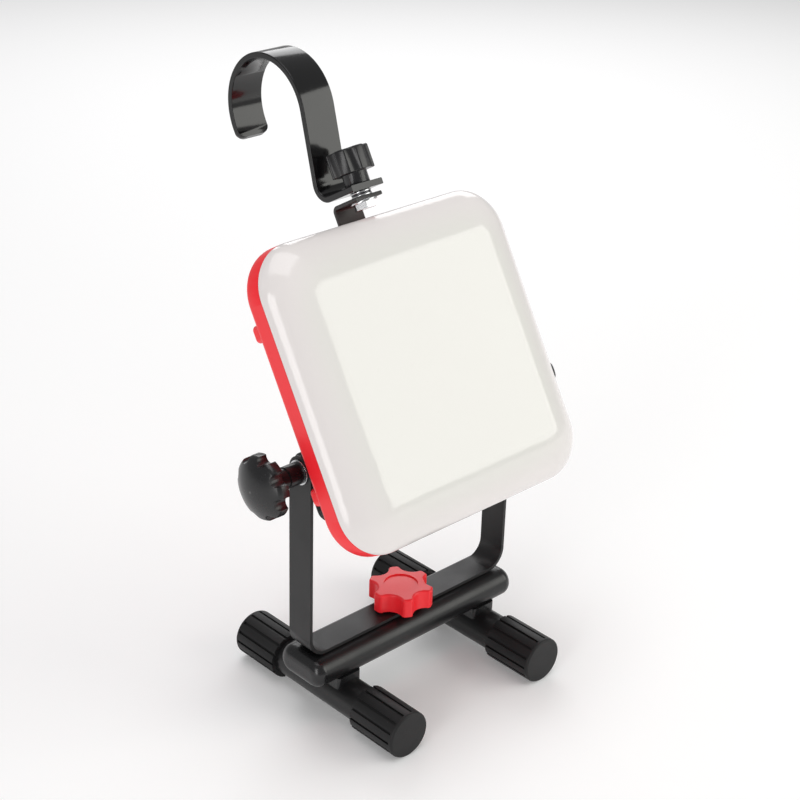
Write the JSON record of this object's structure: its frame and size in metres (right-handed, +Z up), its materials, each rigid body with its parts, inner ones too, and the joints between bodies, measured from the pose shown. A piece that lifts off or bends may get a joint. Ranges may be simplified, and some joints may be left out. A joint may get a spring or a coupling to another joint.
{
  "type": "work light",
  "caption": "Square opal LED work lamp on a tilting, swivelling strap yoke over a two-foot tube stand, with clamp knobs and a swivelling hanging hook.",
  "frame": {"origin": "centre of the bounding box, at the floor the four foot caps stand on", "axes": "+Z up, the lamp faces -Y, +X is the lamp's own right seen from the front"},
  "size_m": [0.2524, 0.2356, 0.3988],
  "materials": {
    "black_coat": "satin black powder coat",
    "black_gloss": "gloss black enamel",
    "black_plastic": "moulded, semi-gloss",
    "grey_plastic": "moulded, fine matt",
    "red_plastic": "moulded, satin gloss",
    "opal": "opal, glossy",
    "white_plastic": "moulded white",
    "rubber": "soft moulded",
    "zinc": "bright zinc plate",
    "brass": "turned",
    "aluminium": "stamped sheet",
    "board": "white solder mask",
    "green_board": "green solder mask",
    "phosphor": "yellow phosphor",
    "cell_wrap": "shrink sleeve",
    "nylon": "moulded nylon",
    "gauge_green": "clear green"
  },
  "bodies": {
    "stand": {"cross_bar": "black_coat", "bar_cap_left": "black_plastic", "bar_cap_right": "black_plastic", "foot_tube_left": "black_coat", "foot_tube_right": "black_coat", "foot_cap_left_front": "grey_plastic", "foot_cap_left_rear": "grey_plastic", "foot_cap_right_front": "grey_plastic", "foot_cap_right_rear": "grey_plastic", "saddle_left": "black_plastic", "saddle_right": "black_plastic", "foot_screws": "zinc", "foot_nuts": "zinc", "clamp_bolt": "zinc", "bar_spacer": "zinc", "swivel_pad": "nylon"},
    "yoke": {"yoke_strap": "black_coat", "yoke_washer": "zinc"},
    "clamp_knob": {"clamp_knob": "red_plastic", "clamp_knob_insert": "brass"},
    "head": {"tray": "red_plastic", "gasket": "rubber", "lens": "opal", "tray_screws": "zinc", "heat_spreader": "aluminium", "led_board": "board", "led_chips": "phosphor", "reflector": "white_plastic", "pack_housing": "black_plastic", "pivot_inserts": "brass", "friction_discs": "rubber", "pack_cover": "black_plastic", "cover_screws": "zinc", "gauge_windows": "gauge_green", "battery_cells": "cell_wrap", "battery_cradle": "nylon", "driver_board": "green_board", "driver_parts": "nylon", "switch_body": "nylon", "charge_socket": "zinc", "led_leads": "rubber", "lead_grommet": "rubber", "switch_bezel": "grey_plastic", "flap_pin": "zinc", "hook_bracket": "black_coat", "bracket_screws": "zinc", "swivel_bolt": "zinc", "swivel_washers": "zinc", "swivel_spring_washer": "black_coat"},
    "hook": {"hook": "black_gloss"},
    "hook_knob": {"hook_knob": "black_plastic", "hook_knob_insert": "brass"},
    "side_knob_left": {"side_knob_left": "black_plastic", "side_stud_left": "zinc", "side_washer_left": "zinc"},
    "side_knob_right": {"side_knob_right": "black_plastic", "side_stud_right": "zinc", "side_washer_right": "zinc"},
    "switch_button": {"switch_button": "red_plastic"},
    "port_flap": {"port_flap": "rubber"}
  },
  "joints": [
    {"name": "yoke_swivel", "type": "hinge", "parent": "stand", "child": "yoke", "pos_m": [0, -0.04282, 0.05], "axis": [0, 0, 1], "continuous": true},
    {"name": "clamp_knob_turn", "type": "hinge", "parent": "stand", "child": "clamp_knob", "pos_m": [0, -0.04282, 0.06], "axis": [0, 0, 1], "continuous": true},
    {"name": "head_tilt", "type": "hinge", "parent": "yoke", "child": "head", "pos_m": [0, -0.04282, 0.182], "axis": [-1, 0, 0], "range_deg": [-41, 80]},
    {"name": "side_knob_left_turn", "type": "hinge", "parent": "head", "child": "side_knob_left", "pos_m": [-0.1, -0.04282, 0.182], "axis": [-1, 0, 0], "continuous": true},
    {"name": "side_knob_right_turn", "type": "hinge", "parent": "head", "child": "side_knob_right", "pos_m": [0.1, -0.04282, 0.182], "axis": [1, 0, 0], "continuous": true},
    {"name": "hook_swivel", "type": "hinge", "parent": "head", "child": "hook", "pos_m": [0, 0.00443, 0.3286], "axis": [0, 0.515, 0.8572], "continuous": true},
    {"name": "hook_knob_turn", "type": "hinge", "parent": "head", "child": "hook_knob", "pos_m": [0, 0.01216, 0.34146], "axis": [0, 0.515, 0.8572], "continuous": true},
    {"name": "switch_press", "type": "slide", "parent": "head", "child": "switch_button", "axis": [0, -0.8572, 0.515], "range_m": [0, 0.0015], "stiffness_N_per_m": 600, "springref_m": -0.002},
    {"name": "port_flap_open", "type": "hinge", "parent": "head", "child": "port_flap", "pos_m": [0.044, -0.03323, 0.16574], "axis": [1, 0, 0], "range_deg": [0, 100]}
  ]
}
